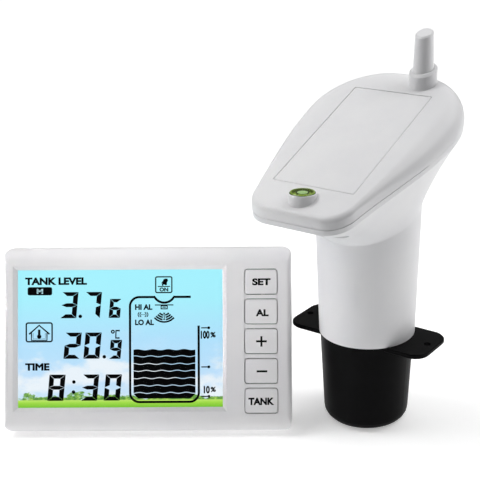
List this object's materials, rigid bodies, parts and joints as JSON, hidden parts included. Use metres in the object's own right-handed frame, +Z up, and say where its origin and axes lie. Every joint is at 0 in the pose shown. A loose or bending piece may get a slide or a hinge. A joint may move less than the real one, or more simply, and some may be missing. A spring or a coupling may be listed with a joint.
{
  "type": "ultrasonic tank level monitor",
  "caption": "Radio tank level monitor: a white angled ultrasonic sensor head on a black screw-down base, with a leaning desk console that has a colour display and push keys.",
  "frame": {"origin": "middle of the bounding box, on the floor that both units stand on", "axes": "+X to the right along the console's width, +Y away from the viewer, +Z up"},
  "size_m": [0.215, 0.1062, 0.1853],
  "materials": {
    "white_plastic": "satin moulded",
    "key_plastic": "fine matte",
    "black_plastic": "fine moulded texture",
    "transducer_can": "drawn, clear anodised",
    "black_rubber": "soft matte",
    "screw_steel": "zinc plated",
    "cell_wrap": "printed sleeve",
    "contact_metal": "nickel plated",
    "board_laminate": "solder resist",
    "shield_metal": "tinned",
    "ferrite": "sintered",
    "lead_insulation": "extruded",
    "antenna_metal": "drawn",
    "vial_clear": "clear acrylic",
    "vial_fluid": "tinted liquid",
    "window_clear": "clear acrylic",
    "display_glass": "lit colour display",
    "light_guide": "diffusing",
    "strip_rubber": "layered",
    "switch_plastic": "moulded"
  },
  "bodies": {
    "units": {"mounting_base": "black_plastic", "transducer": "transducer_can", "transducer_sleeve": "black_rubber", "sensor_body": "white_plastic", "head_cover": "white_plastic", "head_seal": "black_rubber", "head_screws": "screw_steel", "sensor_cells": "cell_wrap", "sensor_bridge_contact": "contact_metal", "sensor_contact_tabs": "contact_metal", "sensor_board": "board_laminate", "rf_module": "shield_metal", "pulse_transformer": "ferrite", "transducer_leads": "lead_insulation", "battery_leads": "lead_insulation", "antenna_lead": "lead_insulation", "antenna_sleeve": "white_plastic", "antenna_rod": "antenna_metal", "level_vial": "vial_clear", "level_fluid": "vial_fluid", "console_front": "white_plastic", "console_rear": "white_plastic", "display_window": "window_clear", "lcd_glass": "display_glass", "lcd_backlight": "light_guide", "lcd_connector_strips": "strip_rubber", "console_board": "board_laminate", "key_switches": "switch_plastic", "buzzer": "switch_plastic", "receiver_coil": "antenna_metal", "console_chip": "switch_plastic", "console_screws": "screw_steel", "console_cells": "cell_wrap", "console_bridge_contact": "contact_metal", "console_contact_tabs": "contact_metal"},
    "set_key": {"set_key": "key_plastic"},
    "alarm_key": {"alarm_key": "key_plastic"},
    "plus_key": {"plus_key": "key_plastic"},
    "minus_key": {"minus_key": "key_plastic"},
    "tank_key": {"tank_key": "key_plastic"},
    "console_stand": {"console_stand": "white_plastic"},
    "console_battery_door": {"console_battery_door": "white_plastic"},
    "sensor_battery_door": {"sensor_battery_door": "white_plastic"}
  },
  "joints": [
    {"name": "set_key_press", "type": "slide", "parent": "units", "child": "set_key", "axis": [0, 0.9304, -0.3665], "range_m": [0, 0.0008], "stiffness_N_per_m": 600, "springref_m": -0.0008},
    {"name": "alarm_key_press", "type": "slide", "parent": "units", "child": "alarm_key", "axis": [0, 0.9304, -0.3665], "range_m": [0, 0.0008], "stiffness_N_per_m": 600, "springref_m": -0.0008},
    {"name": "plus_key_press", "type": "slide", "parent": "units", "child": "plus_key", "axis": [0, 0.9304, -0.3665], "range_m": [0, 0.0008], "stiffness_N_per_m": 600, "springref_m": -0.0008},
    {"name": "minus_key_press", "type": "slide", "parent": "units", "child": "minus_key", "axis": [0, 0.9304, -0.3665], "range_m": [0, 0.0008], "stiffness_N_per_m": 600, "springref_m": -0.0008},
    {"name": "tank_key_press", "type": "slide", "parent": "units", "child": "tank_key", "axis": [0, 0.9304, -0.3665], "range_m": [0, 0.0008], "stiffness_N_per_m": 600, "springref_m": -0.0008},
    {"name": "stand_hinge", "type": "hinge", "parent": "units", "child": "console_stand", "pos_m": [-0.03949, 0.02392, 0.04471], "axis": [1, 0, 0], "range_deg": [-41.91, 0]},
    {"name": "console_door_pull", "type": "slide", "parent": "units", "child": "console_battery_door", "axis": [0, 0.9304, -0.3665], "range_m": [0, 0.025]},
    {"name": "sensor_door_lift", "type": "slide", "parent": "units", "child": "sensor_battery_door", "axis": [-0.2053, -0.3133, 0.9272], "range_m": [0, 0.03]}
  ]
}
